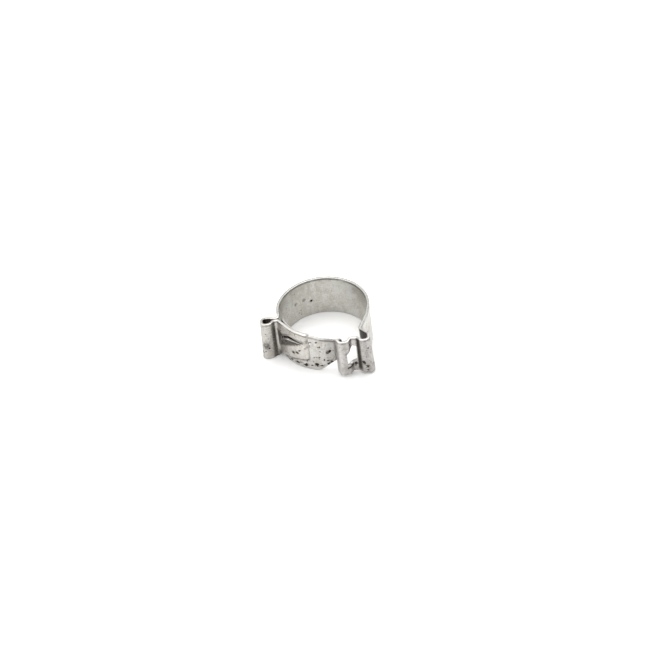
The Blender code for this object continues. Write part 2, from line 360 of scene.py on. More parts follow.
def snapLine(line, columns):
    # adds the sheet's columns to a rim, so that its bends are as fine as the sheet's
    out = [line[0]]
    for a, b in zip(line, line[1:]):
        low, high = min(a[0], b[0]), max(a[0], b[0])
        stops = [s for s in columns if low + 0.02 < s < high - 0.02]
        if a[0] > b[0]:
            stops = stops[::-1]
        for s in stops:
            f = (s - a[0]) / (b[0] - a[0])
            out.append((s, a[1] + (b[1] - a[1]) * f))
        if not stops and math.dist(a, b) > 0.5:
            count = math.ceil(math.dist(a, b) / 0.45)
            out += [(a[0] + (b[0] - a[0]) * k / count, a[1] + (b[1] - a[1]) * k / count) for k in range(1, count)]
        out.append(b)
    return out


def sheetObject(name, path, flat, triangles, rimGap, half, lift, dent, soil, shadeAndGrime):
    count = len(flat)
    vertices, place, inside, crest, dirt, shadeAndGrimeValues = [], [], [], [], [], []
    for face in (1, -1):
        for (s, z), h in zip(flat, half):
            point, side = spotOn(path, s)
            out = face * h + handBent(s, z) + (lift(s, z) if lift else 0.0)
            if dent:
                out += dent(s, z, face)
            spot = ringCentre + point + side * out
            shift = endLean(s, z) if path is strip else 0.0
            vertices.append(((spot.x + shift) * mm, spot.y * mm, z * mm))
            place.append((s, z, 0.0))
            inside.append(0.0 if face == 1 else 1.0)
            crest.append(face * bendAt(path, s))
            dirt.append(soil(s, z, face) if soil else 0.0)
            shadeAndGrimeValues.append(shadeAndGrime(s, z, face) if shadeAndGrime else 0.0)
    faces = [tuple(t) for t in triangles]
    faces += [tuple(int(v) + count for v in t[::-1]) for t in triangles]
    seen = {}
    for t in triangles:
        for k in range(3):
            seen[(int(t[k]), int(t[(k + 1) % 3]))] = True
    for a, b in seen:
        if (b, a) not in seen:
            faces.append((b, a, a + count, b + count))
    mesh = bpy.data.meshes.new(name)
    mesh.from_pydata(vertices, [], [tuple(int(v) for v in f) for f in faces])
    mesh.update()
    if signedVolume(mesh) < 0:
        mesh.flip_normals()
    storeValues(mesh, "stripPlace", "FLOAT_VECTOR", np.array(place, np.float32))
    storeValues(mesh, "innerSide", "FLOAT", np.array(inside, np.float32))
    storeValues(mesh, "rimGap", "FLOAT", np.concatenate([rimGap, rimGap]).astype(np.float32))
    storeValues(mesh, "crest", "FLOAT", np.array(crest, np.float32))
    storeValues(mesh, "soil", "FLOAT", np.array(dirt, np.float32))
    # per point amount of painted shade, together with real grime and stains
    storeValues(mesh, "shadeAndGrime", "FLOAT", np.array(shadeAndGrimeValues, np.float32))
    mesh.shade_smooth()
    mesh.set_sharp_from_angle(angle=math.radians(62))
    obj = bpy.data.objects.new(name, mesh)
    bpy.context.scene.collection.objects.link(obj)
    return obj


def storeValues(mesh, name, kind, values):
    attribute = mesh.attributes.new(name, kind, "POINT")
    attribute.data.foreach_set("vector" if kind == "FLOAT_VECTOR" else "value", values.ravel())


def signedVolume(mesh):
    mesh.calc_loop_triangles()
    total = 0.0
    for t in mesh.loop_triangles:
        a, b, c = (mesh.vertices[i].co for i in t.vertices)
        total += a.dot(b.cross(c))
    return total


def handBent(s, z):
    # the slight unevenness of a strip that has been opened and closed by hand
    wave = math.sin(s * 0.41 + 1.3) * math.sin(z * 0.33 + s * 0.07)
    return 0.030 * wave + 0.014 * math.sin(s * 1.13 + z * 0.5) * math.sin(z * 0.61 + 0.4)


def endLean(s, z):
    # the lug and the ear both stand a little wider at their lower edge
    if s < 23.0:
        low, high = jawShape["lean"]
        return smooth(7.4, 10.2, s) * (1 - smooth(14.0, 23.0, s)) * (low + (high - low) * z / width)
    if s > 68.3:
        return earShape["lean"] * smooth(68.3, 69.6, s) * (1 - smooth(75.6, 77.8, s)) * (1 - z / width)
    return 0.0


def bump(s, z, spotS, spotZ, reachS, reachZ):
    d = ((s - spotS) / reachS) ** 2 + ((z - spotZ) / reachZ) ** 2
    return math.exp(-d)


def spotPoints(spots):
    # extra points round each strong spot, so that the sheet is fine enough to carry it
    out = []
    for spotS, spotZ, reachS, reachZ, strength, side in spots:
        if strength >= 0.8:
            for ring in (0.0, 0.45, 0.9, 1.35, 1.9):
                for k in range(10 if ring else 1):
                    a = 2 * math.pi * (k + ring) / 10
                    out.append((spotS + reachS * ring * math.cos(a), spotZ + reachZ * ring * math.sin(a)))
    return out


def soilFrom(spots):
    # spots are (run, height, reach along, reach up, strength, face or 0 for both)
    def soil(s, z, face):
        total = 0.0
        for spotS, spotZ, reachS, reachZ, strength, side in spots:
            if side == 0 or side == face:
                total = max(total, strength * bump(s, z, spotS, spotZ, reachS, reachZ))
        return total
    return soil


def straightRims(start, end):
    return [[(start, 0.0), (end, 0.0)], [(end, width), (start, width)]]


# materials

# band, jaw and foot are the same steel; the jaw's darker tint is painted shade for crest faces that reflect the darker
# camera side, and the rim value of each look scales the tint into the painted highlight on its cut edges
steelLook = {
    "band": {
        "tint": (0.605, 0.60, 0.57), "dull": (0.37, 0.355, 0.325),
        "rough": 0.30, "pits": 0.35, "grain": 0.5, "freckle": 0.30, "rimLightLevel": 0.74,
    },
    "jaw": {
        "tint": (0.50, 0.485, 0.475), "dull": (0.29, 0.275, 0.265),
        "rough": 0.35, "pits": 0.6, "grain": 0.6, "freckle": 0.55, "rimLightLevel": 1.30,
    },
    "foot": {
        "tint": (0.64, 0.62, 0.59), "dull": (0.375, 0.355, 0.33),
        "rough": 0.37, "pits": 0.85, "grain": 0.6, "freckle": 0.55, "rimLightLevel": 0.88,
    },
    "tongue": {
        "tint": (0.61, 0.60, 0.58), "dull": (0.34, 0.325, 0.31),
        "rough": 0.40, "pits": 1.05, "grain": 0.5, "freckle": 0.55, "rimLightLevel": 0.88,
    },
    "weld": {
        "tint": (0.085, 0.075, 0.066), "dull": (0.045, 0.038, 0.032),
        "rough": 0.48, "pits": 1.0, "grain": 0.2, "freckle": 0.5, "rimLightLevel": 0.9,
    },
}


class Graph:
    def __init__(self, tree):
        self.tree = tree

    def node(self, kind, **settings):
        made = self.tree.nodes.new(kind)
        for key, value in settings.items():
            setattr(made, key, value)
        return made

    def wire(self, source, target):
        self.tree.links.new(source, target)

    def math(self, operation, a, b=None, clamp=False):
        made = self.node("ShaderNodeMath", operation=operation, use_clamp=clamp)
        for socket, value in zip(made.inputs, (a, b)):
            if value is None:
                continue
            if hasattr(value, "links"):
                self.wire(value, socket)
            else:
                socket.default_value = value
        return made.outputs[0]

    def times(self, a, b):
        return self.math("MULTIPLY", a, b)

    def noise(self, vector, scale, detail=4.0, rough=0.55):
        made = self.node("ShaderNodeTexNoise", noise_dimensions="3D")
        self.wire(vector, made.inputs["Vector"])
        made.inputs["Scale"].default_value = scale
        made.inputs["Detail"].default_value = detail
        made.inputs["Roughness"].default_value = rough
        return made.outputs["Fac"]

    def stretch(self, vector, scale, shift=(0, 0, 0)):
        made = self.node("ShaderNodeMapping")
        self.wire(vector, made.inputs["Vector"])
        made.inputs["Scale"].default_value = scale
        made.inputs["Location"].default_value = shift
        return made.outputs["Vector"]

    def ramp(self, value, low, high, smooth=True):
        made = self.node("ShaderNodeMapRange", interpolation_type="SMOOTHSTEP" if smooth else "LINEAR", clamp=True)
        self.wire(value, made.inputs["Value"])
        made.inputs["From Min"].default_value = low
        made.inputs["From Max"].default_value = high
        return made.outputs["Result"]

    def mix(self, amount, a, b):
        made = self.node("ShaderNodeMix", data_type="RGBA")
        for socket, value in ((made.inputs[0], amount), (made.inputs[6], a), (made.inputs[7], b)):
            if hasattr(value, "links"):
                self.wire(value, socket)
            elif isinstance(value, tuple):
                socket.default_value = value + (1.0,)
            else:
                socket.default_value = value
        return made.outputs[2]


def makeGroup(name, inputs, outputs):
    tree = bpy.data.node_groups.new(name, "ShaderNodeTree")
    for label, kind in inputs:
        tree.interface.new_socket(name=label, in_out="INPUT", socket_type=kind)
    for label, kind in outputs:
        tree.interface.new_socket(name=label, in_out="OUTPUT", socket_type=kind)
    graph = Graph(tree)
    return tree, graph, graph.node("NodeGroupInput").outputs, graph.node("NodeGroupOutput").inputs


floatKind, vectorKind = "NodeSocketFloat", "NodeSocketVector"


def rolledGrainGroup():
    # fine lines along the strip from rolling and brushing, with a few deeper scratches
    tree, g, given, out = makeGroup(
        "rolledGrain", [("Place", vectorKind), ("Amount", floatKind)], [("Height", floatKind), ("Streak", floatKind)],
    )
    fine = g.noise(g.stretch(given["Place"], (0.55, 9.0, 9.0)), 1.6, 3.0, 0.6)
    broad = g.noise(g.stretch(given["Place"], (0.22, 2.6, 2.6), (3, 7, 1)), 1.0, 2.0, 0.5)
    scratch = g.ramp(g.noise(g.stretch(given["Place"], (0.5, 7.0, 7.0), (11, 2, 5)), 0.9, 1.0, 0.4), 0.66, 0.72)
    height = g.math("SUBTRACT", g.math("ADD", fine, g.times(broad, 0.6)), g.times(scratch, 0.8))
    g.wire(g.times(height, given["Amount"]), out["Height"])
    g.wire(g.ramp(g.math("ADD", g.times(fine, 0.5), g.times(broad, 0.5)), 0.35, 0.68), out["Streak"])
    return tree


def handledMottleGroup():
    # soft patches where the steel has dulled, small dull freckles and small rubbed spots
    tree, g, given, out = makeGroup(
        "handledMottle", [("Place", vectorKind), ("Amount", floatKind)],
        [("Patch", floatKind), ("Freckle", floatKind), ("Shine", floatKind)],
    )
    cloud = g.noise(g.stretch(given["Place"], (1.0, 0.55, 1.0)), 0.42, 4.0, 0.62)
    small = g.noise(given["Place"], 1.9, 3.0, 0.6)
    blotch = g.math("ADD", g.times(cloud, 0.7), g.times(small, 0.3))
    g.wire(g.times(g.ramp(blotch, 0.42, 0.60), given["Amount"]), out["Patch"])
    g.wire(g.times(g.ramp(g.noise(given["Place"], 2.7, 2.0, 0.55), 0.54, 0.68), given["Amount"]), out["Freckle"])
    rubbed = g.noise(g.stretch(given["Place"], (1, 1, 1), (5, 8, 3)), 2.2, 3.0, 0.6)
    g.wire(g.times(g.ramp(rubbed, 0.52, 0.66), given["Amount"]), out["Shine"])
    return tree


def rustPitsGroup():
    # round pits of many sizes, crowded where the soil value is high, with a stained halo round each
    tree, g, given, out = makeGroup(
        "rustPits", [("Place", vectorKind), ("Soil", floatKind), ("Density", floatKind)],
        [("Pit", floatKind), ("Stain", floatKind)],
    )
    warp = g.noise(given["Place"], 2.6, 3.0, 0.6)
    cloud = g.noise(given["Place"], 0.55, 2.0, 0.5)
    soil = g.math("ADD", given["Soil"], g.times(given["Density"], g.ramp(cloud, 0.45, 0.75)))
    pit, stain = 0.0, g.ramp(g.math("ADD", soil, g.times(g.math("SUBTRACT", warp, 0.5), 1.1)), 0.55, 1.5)
    for scale, reach in ((1.25, 0.66), (2.6, 0.60)):
        cells = g.node("ShaderNodeTexVoronoi", voronoi_dimensions="3D", feature="F1")
        g.wire(given["Place"], cells.inputs["Vector"])
        cells.inputs["Scale"].default_value = scale
        split = g.node("ShaderNodeSeparateColor")
        g.wire(cells.outputs["Color"], split.inputs[0])
        size = g.times(g.times(soil, reach), g.math("POWER", split.outputs[0], 1.3))
        edge = g.math("ADD", cells.outputs["Distance"], g.times(g.math("SUBTRACT", warp, 0.5), 0.55))
        depth = g.math("SUBTRACT", size, edge)
        pit = g.math("MAXIMUM", pit, g.ramp(depth, -0.03, 0.06))
        stain = g.math("MAXIMUM", stain, g.times(g.ramp(depth, -0.20, 0.03), 0.6))
    heavy = g.ramp(g.math("ADD", given["Soil"], g.times(g.math("SUBTRACT", warp, 0.5), 1.2)), 0.62, 0.84)
    g.wire(g.math("MAXIMUM", pit, heavy), out["Pit"])
    g.wire(stain, out["Stain"])
    return tree


def rimHighlightGroup():
    # painted highlight on the cut edges and crests, where they reflect the overhead light, broken up with rubbed wear;
    # painted shade in concave bends; and a painted dark reflection line just inside the upper edge
    tree, g, given, out = makeGroup(
        "rimHighlight", [("RimGap", floatKind), ("Crest", floatKind), ("Place", vectorKind), ("Upper", floatKind)],
        [("HighlightAndWear", floatKind), ("ConcaveShade", floatKind), ("DarkEdgeReflection", floatKind)],
    )
    broken = g.noise(given["Place"], 1.2, 2.0, 0.5)
    near = g.math("SUBTRACT", 1.0, g.ramp(g.math("ADD", given["RimGap"], g.times(broken, 0.08)), 0.12, 0.22))
    crest = g.times(g.ramp(given["Crest"], 0.35, 1.1), g.ramp(broken, 0.30, 0.62))
    g.wire(g.math("MAXIMUM", near, g.times(crest, 0.5)), out["HighlightAndWear"])
    # painted shade, growing with the concave bend
    g.wire(g.ramp(g.times(given["Crest"], -1.0), 0.25, 1.2), out["ConcaveShade"])
    # a painted dark reflection of the room on the rounding just inside the upper edge
    beyondLine = g.math("SUBTRACT", 1.0, g.ramp(given["RimGap"], 0.42, 0.90))
    line = g.times(g.ramp(given["RimGap"], 0.16, 0.28), beyondLine)
    patchy = g.ramp(g.noise(g.stretch(given["Place"], (0.3, 1.0, 1.0)), 0.8, 2.0, 0.5), 0.32, 0.52)
    g.wire(g.times(g.times(line, patchy), given["Upper"]), out["DarkEdgeReflection"])
    return tree


def grimeFilmGroup():
    # painted shade in hollows, cavities, concave bends and under overlapping parts, together with real grime and
    # stains, darkening the colour with a speckled edge
    tree, g, given, out = makeGroup("grimeFilm", [("Place", vectorKind), ("Film", floatKind)], [("Dark", floatKind)])
    speck = g.math("SUBTRACT", g.noise(given["Place"], 2.3, 3.0, 0.65), 0.5)
    here = g.times(g.ramp(given["Film"], 0.0, 0.35), 1.15)
    g.wire(g.math("ADD", given["Film"], g.times(speck, here), clamp=True), out["Dark"])
    return tree


groups = {
    "shadeAndGrime": grimeFilmGroup(),
    "grain": rolledGrainGroup(),
    "mottle": handledMottleGroup(),
    "pits": rustPitsGroup(),
    "rim": rimHighlightGroup(),
}


def wornSteel(name, look):
    material = bpy.data.materials.new(name)
    material.use_nodes = True
    g = Graph(material.node_tree)
    shader = material.node_tree.nodes["Principled BSDF"]
    shader.inputs["Metallic"].default_value = 1.0
    attribute = {}
    for label in ("stripPlace", "innerSide", "rimGap", "crest", "soil", "shadeAndGrime"):
        made = g.node("ShaderNodeAttribute", attribute_type="GEOMETRY", attribute_name=label)
        attribute[label] = made.outputs["Vector" if label == "stripPlace" else "Fac"]
    sideStep = g.math("GREATER_THAN", attribute["innerSide"], 0.5)
    offset = g.node("ShaderNodeCombineXYZ")
    g.wire(g.times(sideStep, 37.0), offset.inputs["Z"])
    placed = g.node("ShaderNodeVectorMath", operation="ADD")
    g.wire(attribute["stripPlace"], placed.inputs[0])
    g.wire(offset.outputs[0], placed.inputs[1])
    place = placed.outputs["Vector"]

    def use(key, **values):
        made = g.node("ShaderNodeGroup", node_tree=groups[key])
        g.wire(place, made.inputs["Place"])
        for label, value in values.items():
            if hasattr(value, "links"):
                g.wire(value, made.inputs[label])
            else:
                made.inputs[label].default_value = value
        return made.outputs

    heights = g.node("ShaderNodeSeparateXYZ")
    g.wire(attribute["stripPlace"], heights.inputs[0])
    # the painted dark reflection line is kept to the upper half of the strip
    upper = g.ramp(heights.outputs["Y"], 7.0, 8.0)
    grain = use("grain", Amount=look["grain"])
    mottle = use("mottle", Amount=1.0)
    pits = use("pits", Soil=attribute["soil"], Density=look["pits"])
    shadeAndGrime = use("shadeAndGrime", Film=attribute["shadeAndGrime"])
    rim = use("rim", RimGap=attribute["rimGap"], Crest=attribute["crest"], Upper=upper)
    tint, dull = look["tint"], look["dull"]
    # the painted highlight colour of the cut edges
    bright = tuple(c * look["rimLightLevel"] for c in tint)
    warm = (tint[0] * 0.83, tint[1] * 0.80, tint[2] * 0.755)
    colour = tint
    for mask, amount, over in (
        (mottle["Patch"], 0.85, warm),
        (grain["Streak"], 0.18, dull),
        (mottle["Freckle"], look["freckle"], dull),
        (mottle["Shine"], 0.45, tuple(c * 1.16 for c in tint)),
        # painted shade in concave bends, a painted dark reflection just inside the upper edge, then painted shade
        # together with real grime
        (rim["ConcaveShade"], 0.5, dull),
        (rim["DarkEdgeReflection"], 0.80, (0.17, 0.16, 0.145)),
        (shadeAndGrime["Dark"], 0.93, (0.060, 0.053, 0.046)),
        (pits["Stain"], 0.78, (0.155, 0.125, 0.105)),
        (pits["Pit"], 0.92, (0.030, 0.024, 0.021)),
    ):
        colour = g.mix(g.times(mask, amount), colour, over)
    clean = g.math("SUBTRACT", 1.0, g.times(shadeAndGrime["Dark"], 0.5))
    clear = g.times(g.math("SUBTRACT", 1.0, pits["Pit"]), clean)
    # painted highlight on the cut edges and crests, held off the pits and the darker places
    colour = g.mix(g.times(g.times(rim["HighlightAndWear"], clear), 0.8), colour, bright)
    g.wire(colour, shader.inputs["Base Color"])
    rough = look["rough"]
    for mask, amount in ((mottle["Patch"], 0.10), (grain["Streak"], 0.06), (pits["Stain"], 0.25), (shadeAndGrime["Dark"], 0.18)):
        rough = g.math("ADD", rough, g.times(mask, amount))
    rough = g.math("SUBTRACT", rough, g.times(rim["HighlightAndWear"], 0.08), clamp=True)
    g.wire(rough, shader.inputs["Roughness"])
    height = g.math("SUBTRACT", g.times(grain["Height"], 0.35), g.times(pits["Pit"], 1.6))
    height = g.math("SUBTRACT", height, g.times(mottle["Freckle"], 0.25))
    made = g.node("ShaderNodeBump")
    made.inputs["Strength"].default_value = 0.35
    made.inputs["Distance"].default_value = 0.00006
    g.wire(height, made.inputs["Height"])
    g.wire(made.outputs["Normal"], shader.inputs["Normal"])
    return material


steels = {key: wornSteel("wornSteel" + key.capitalize(), look) for key, look in steelLook.items()}
print("materials ready:", len(steels))


def dress(obj, steel):
    obj.data.materials.append(steels[steel])


def frameSpot(run, path=strip, height=6.0):
    point, _ = spotOn(path, run)
    spot = ringCentre + point
    return (spot.x * mm, spot.y * mm, height * mm)


# ring, in zones that meet end to end along the curve

ringZones = [
    # name, angles, bodies, angles where the bend starts and ends, CAD nodes it stands for
    ("ringBackRight", (127.5, 172.5), ("right_rear", "back"), (130, 170), ["band_right", "band_back"]),
    ("ringRight", (90.0, 127.5), ("right_front", "right_rear"), (92, 118), ["band_right_front", "band_right"]),
    ("ringBackLeft", (172.5, 215.0), ("back", "left_rear"), (176, 214), ["band_back", "band_left"]),
    ("ringLeft", (215.0, 253.5), ("left_rear", "left_front"), (217, 253), ["band_left", "band_left_front"]),
    ("ringNeck", (253.5, 274.0), ("left_front", "ear_end"), (262, 274), ["band_left_front"]),
]

punchMarks = {
    "dot": (193.8, 0.403, 0.34),  # angle, height share, size in millimetres
    "dimples": [(203.8, 0.50, 0.62), (217.0, 0.49, 0.66)],
    "depth": 0.12,
}


def punchDent(s, z, face):
    if face == 1:
        return 0.0
    angle, share, size = punchMarks["dot"]
    total = 1.6 * bump(s, z, runAtAngle(angle), share * width, size, size)
    for angle, share, size in punchMarks["dimples"]:
        d = math.hypot(s - runAtAngle(angle), z - share * width)
        total += 1.0 - smooth(0.35 * size, 1.15 * size, d)
    return punchMarks["depth"] * total


def punchPoints():
    spots = []
    for angle, share, size in [punchMarks["dot"]] + punchMarks["dimples"]:
        for ring in (0.0, 0.17, 0.34, 0.5, 0.66, 0.85):
            for k in range(16 if ring else 1):
                a = 2 * math.pi * k / 16
                spots.append((runAtAngle(angle) + ring * math.cos(a), share * width + ring * math.sin(a)))
    return spots


ringSoil = soilFrom([
    (runAtAngle(193.8), 4.84, 0.42, 0.42, 1.35, -1),
    (runAtAngle(152), 1.1, 0.6, 0.5, 0.55, -1),
    (runAtAngle(226), 2.6, 2.5, 1.4, 0.30, -1),
    (runAtAngle(240), 6.0, 2.0, 3.0, 0.24, -1),
    (runAtAngle(190), 9.8, 1.2, 0.6, 0.32, -1),
    (runAtAngle(100), 3.0, 2.0, 2.0, 0.22, 1),
])

def ringPunchDarkening(s, z, face):
    # darkens the inner face round the punch dot and the dimples
    if face == 1:
        return 0.0
    total = 0.62 * bump(s, z, runAtAngle(193.8), 4.84, 0.40, 0.40)
    for angle, share, size in punchMarks["dimples"]:
        d = math.hypot(s - runAtAngle(angle), z - share * width)
        total = max(total, 0.36 * (1.0 - smooth(0.6 * size, 1.25 * size, d)))
    return total


for name, angles, bodies, bend, nodes in ringZones:
    start, end = runAtAngle(angles[0]), runAtAngle(angles[1])
    marked = name in ("ringBackLeft", "ringLeft")
    piece = buildSheet(
        name, strip, start, end, straightRims(start, end),
        dent=punchDent if marked else None, soil=ringSoil, shadeAndGrime=ringPunchDarkening, extra=punchPoints() if marked else (),
    )
    dress(piece, "band")
    frameSpot(runAtAngle(bend[0]))
    frameSpot(runAtAngle(bend[1]))
    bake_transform(piece)
    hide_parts(*nodes)
print("ring ready:", len(ringZones), "zones")

# flare and jaw

cornerRun = nearestRun(strip, jawShape["corner"])
flareMidRun = (cornerRun + ringStartRun) / 2
jawStartRun = cornerRun - 1.5
ringRightRun = runAtAngle(90.0)

flareSoil = soilFrom([(cornerRun + 2.5, 2.0, 2.5, 2.5, 0.22, 1), (cornerRun + 1.0, 8.0, 1.5, 3.0, 0.2, 1)])
piece = buildSheet("ringFlare", strip, flareMidRun, ringRightRun, straightRims(flareMidRun, ringRightRun), soil=flareSoil)
dress(piece, "band")
frameSpot(ringStartRun - 2.2)
frameSpot(ringStartRun + 2.2)
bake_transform(piece)
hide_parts("band_right_front", "band_flare")

# painted shade on the inner face inside the lug, and a little painted shade on the lug's outer crest
piece = buildSheet(
    "jawCorner", strip, jawStartRun, flareMidRun, straightRims(jawStartRun, flareMidRun),
    soil=flareSoil, shadeAndGrime=lambda s, z, face: 1 - smooth(15.2, 16.0, s) if face == -1 else 0.22 * (1 - smooth(14.5, 16.0, s)),
)
dress(piece, "band")
frameSpot(cornerRun - 1.2)
frameSpot(cornerRun + 1.6)
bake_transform(piece)
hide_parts("band_flare")

windowLine = filletLine([(s, share * width, r) for s, share, r in jawShape["window"]], turnStep=12, closed=True)
lowLine = [(s, share * width, 3.0) for s, share in jawShape["lowEdge"]]
jawRims = [filletLine(
    [(jawStartRun, width, 0), (0.0, width, 0.35), (0.0, lowLine[-1][1], 0.35)] + lowLine[-2:0:-1]
    + [(lowLine[0][0], 0.0, 0), (jawStartRun, 0.0, 0)],
    turnStep=15,
)]
jawMarks = [
    # run, height, reach along, reach up, strength, face
    (4.9, 3.1, 1.3, 0.55, 1.0, 1),
    (3.4, 3.2, 0.5, 0.7, 0.75, 1),
    (6.3, 3.2, 0.8, 0.8, 0.95, 1),
    (8.9, 3.9, 0.7, 1.0, 0.85, 1),
    (9.5, 2.9, 0.8, 0.6, 0.95, 1),
    (11.3, 2.7, 0.7, 0.6, 0.9, 1),
    (10.4, 1.9, 1.3, 0.6, 0.6, 1),
    (4.3, 10.4, 0.5, 0.4, 0.95, 1),
    (3.0, 7.2, 0.5, 2.2, 0.40, 1),
    (9.8, 7.2, 1.2, 2.6, 0.42, 1),
    (5.5, 1.3, 2.0, 0.8, 0.5, 1),
]


def jawShadeAndStains(s, z, face):
    # painted shade in the concave flank beside the lug and inside both folds, painted shade on the crests of the lug
    # and the hook, darker towards the bottom, and a real stain under the window
    if face == 1:
        flank = 1.1 * smooth(6.80, 7.15, s) * (1 - smooth(8.15, 8.65, s)) * smooth(0.4, 2.2, z)
        underWindow = 0.75 * bump(s, z, 5.0, 3.0, 1.8, 0.7)
        crest = 0.22 * smooth(8.3, 9.0, s) + 0.16 * (1 - smooth(3.0, 4.6, s)) * smooth(1.8, 3.2, s)
        lower = 0.14 * (1 - smooth(1.0, 3.6, z)) * smooth(4.0, 6.0, s)
        return max(flank, underWindow, crest + lower)
    inLug = smooth(8.2, 9.2, s) * (1 - smooth(15.2, 16.0, s))
    inHook = smooth(0.3, 1.2, s) * (1 - smooth(3.6, 4.6, s))
    return max(inLug, 0.8 * inHook)


jaw = buildSheet(
    "latchJaw", strip, 0.0, jawStartRun, jawRims, [windowLine],
    soil=soilFrom(jawMarks), shadeAndGrime=jawShadeAndStains, extra=spotPoints(jawMarks),
)
dress(jaw, "jaw")
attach(jaw, "jaw")
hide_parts("grip_lug", "release_web", "latch_hook")
print("jaw ready")

# grip ear and foot, one length of strip

footShape = {
    # run back from the end, height share
    "lowEdge": [(-11.60, 0.012), (-10.06, 0.062), (-7.06, 0.138), (-4.96, 0.196), (-2.56, 0.246)],
    "endLow": 0.300,
    "endDrop": 0.50,  # how far the end is ground down
    "opening": [
        (-10.66, 0.296), (-9.22, 0.604), (-8.80, 0.655), (-8.36, 0.672), (-6.06, 0.775), (-3.86, 0.764), (-1.26, 0.722),
    ],
    "flap": [(-1.56, 0.700), (-3.86, 0.730), (-6.06, 0.738), (-8.35, 0.628), (-8.75, 0.585), (-10.36, 0.312)],
    "flapLean": 0.30,  # outward rise for each millimetre from the fold
    "welds": [(-4.98, 0.352), (-3.63, 0.398)],
}
earStartRun = runAtAngle(274.0)
footEndRun = footRun(earShape["footEnd"])
neckRun = 77.9


def onFoot(marks):
    return [(footEndRun + back, share * width) for back, share in marks]


foldLow, foldHigh = onFoot([(-10.76, 0.278), (-1.36, 0.712)])
slitMiddle = onFoot(
    [(-10.62, 0.285), (-9.05, 0.600), (-8.60, 0.645), (-6.06, 0.757), (-3.86, 0.747), (-1.36, 0.712)]
)


def foldHeight(s):
    return foldLow[1] + (foldHigh[1] - foldLow[1]) * (s - foldLow[0]) / (foldHigh[0] - foldLow[0])


def slitHeight(s):
    for (s0, z0), (s1, z1) in zip(slitMiddle, slitMiddle[1:]):
        if s <= s1:
            return z0 + (z1 - z0) * max(0.0, s - s0) / (s1 - s0)
    return slitMiddle[-1][1]


def onFlap(s, z):
    return slitMiddle[0][0] < s < slitMiddle[-1][0] and foldHeight(s) + 0.05 < z < slitHeight(s)


def flapLift(s, z):
    # the lanced flap leans out from its slanted fold
    if not onFlap(s, z):
        return 0.0
    above = z - foldHeight(s)
    return footShape["flapLean"] * above * above / (above + 0.25)


lowEdge = [(s, z, 1.2) for s, z in onFoot(footShape["lowEdge"])]
footRims = [filletLine(
    [(earStartRun, 0.0, 0), (neckRun, 0.0, 0.4)] + lowEdge
    + [(footEndRun, footShape["endLow"] * width, 0.35), (footEndRun, 0.978 * width, 0.30)]
    + [(footEndRun - 2.4, width, 3.0), (earStartRun, width, 0)],
    turnStep=15,
)]
openingCorners = onFoot(footShape["opening"] + footShape["flap"])
openingLine = filletLine([(s, z, 0.12) for s, z in openingCorners], turnStep=20, closed=True)
grooveRun = 76.75  # bottom of the groove behind the ear
earSpot = (74.5, 4.7)  # run and height of the dark oval
footMarks = [(footEndRun - back, *mark, 1) for back, *mark in (
    (4.98, 4.22, 0.50, 0.32, 0.5),
    (3.63, 4.78, 0.50, 0.32, 0.5),
    (4.70, 5.65, 0.8, 0.22, 0.62),
    (2.46, 6.80, 0.5, 0.30, 0.62),
    (0.36, 7.50, 0.4, 0.50, 0.45),
    (4.30, 10.2, 3.0, 1.0, 0.30),
    (6.30, 11.1, 3.0, 0.5, 0.34),
    (2.30, 9.60, 1.6, 1.0, 0.45),
    (8.90, 5.60, 1.2, 1.0, 0.75),
    (6.60, 7.40, 1.4, 0.9, 0.75),
    (2.80, 3.60, 2.0, 0.4, 0.35),
)]


def footShadeAndStains(s, z, face):
    # painted shade inside the ear loop on the inner face, in the groove behind the ear, over the ear bulb, on the flap
    # that faces downward, through the slit left of the flap, at the lower corner of the neck and just below the upper
    # edge; the oval spot and the weld marks are real stains
    if face == -1:
        return smooth(70.4, 71.2, s) * (1 - smooth(76.4, 77.4, s))
    back = s - footEndRun
    groove = 0.85 * math.exp(-(((s - grooveRun) / 0.75) ** 4))  # behind the ear
    bulb = 0.24 * smooth(68.6, 69.6, s) * (1 - smooth(75.8, 76.6, s))
    oval = 0.62 * min(1.0, 1.7 * bump(s, z, *earSpot, 0.72, 1.05))
    flap = 0.95 * smooth(0.10, 0.40, slitHeight(s) - z) if onFlap(s, z) else 0.0
    over = z / width - (0.800 - 0.0415 * (back + 10.95))
    wedge = 0.92 * smooth(-11.35, -10.95, back) * (1 - smooth(-8.9, -8.1, back))  # left of the slit
    wedge *= (1 - smooth(-0.045, 0.02, over)) * smooth(0.27, 0.31, z / width)
    wedge = 0.0 if onFlap(s, z) else wedge * smooth(-0.10, 0.10, z - slitHeight(s))
    welds = max(bump(back, z, -4.98, 4.22, 0.55, 0.38), bump(back, z, -3.63, 4.78, 0.55, 0.38))
    corner = 0.8 * bump(s, z, 77.9, 1.0, 0.7, 1.2)
    upper = 0.35 * bump(back, z, -5.3, 10.6, 4.0, 0.5)
    return max(groove, bulb + oval, flap, wedge, welds, corner, upper)


def footDent(s, z, face):
    if face == -1:
        return 0.0
    dimples = sum(-0.16 * bump(s, z, run, height, 0.40, 0.29) for run, height in onFoot(footShape["welds"]))
    return dimples - footShape["endDrop"] * smooth(footEndRun - 0.75, footEndRun, s)


def weldPoints():
    spots = []
    for run, height in onFoot(footShape["welds"]):
        for ring in (0.0, 0.16, 0.32, 0.5, 0.7):
            for k in range(14 if ring else 1):
                a = 2 * math.pi * k / 14
                spots.append((run + ring * math.cos(a), height + ring * math.sin(a)))
    return spots


earFoot = buildSheet(
    "gripEarAndFoot", strip, earStartRun, footEndRun, footRims, [openingLine],
    lift=flapLift, dent=footDent, soil=soilFrom(footMarks), shadeAndGrime=footShadeAndStains,
    extra=weldPoints() + spotPoints(footMarks),
)
dress(earFoot, "foot")
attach(earFoot, "ear_end")
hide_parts("grip_ear", "latch_foot", "locking_tab")
print("ear and foot ready")

# weld nuggets, low domes in the dimples of the foot

weldShape = {"size": 0.36, "rise": 0.05, "sunk": 0.10}


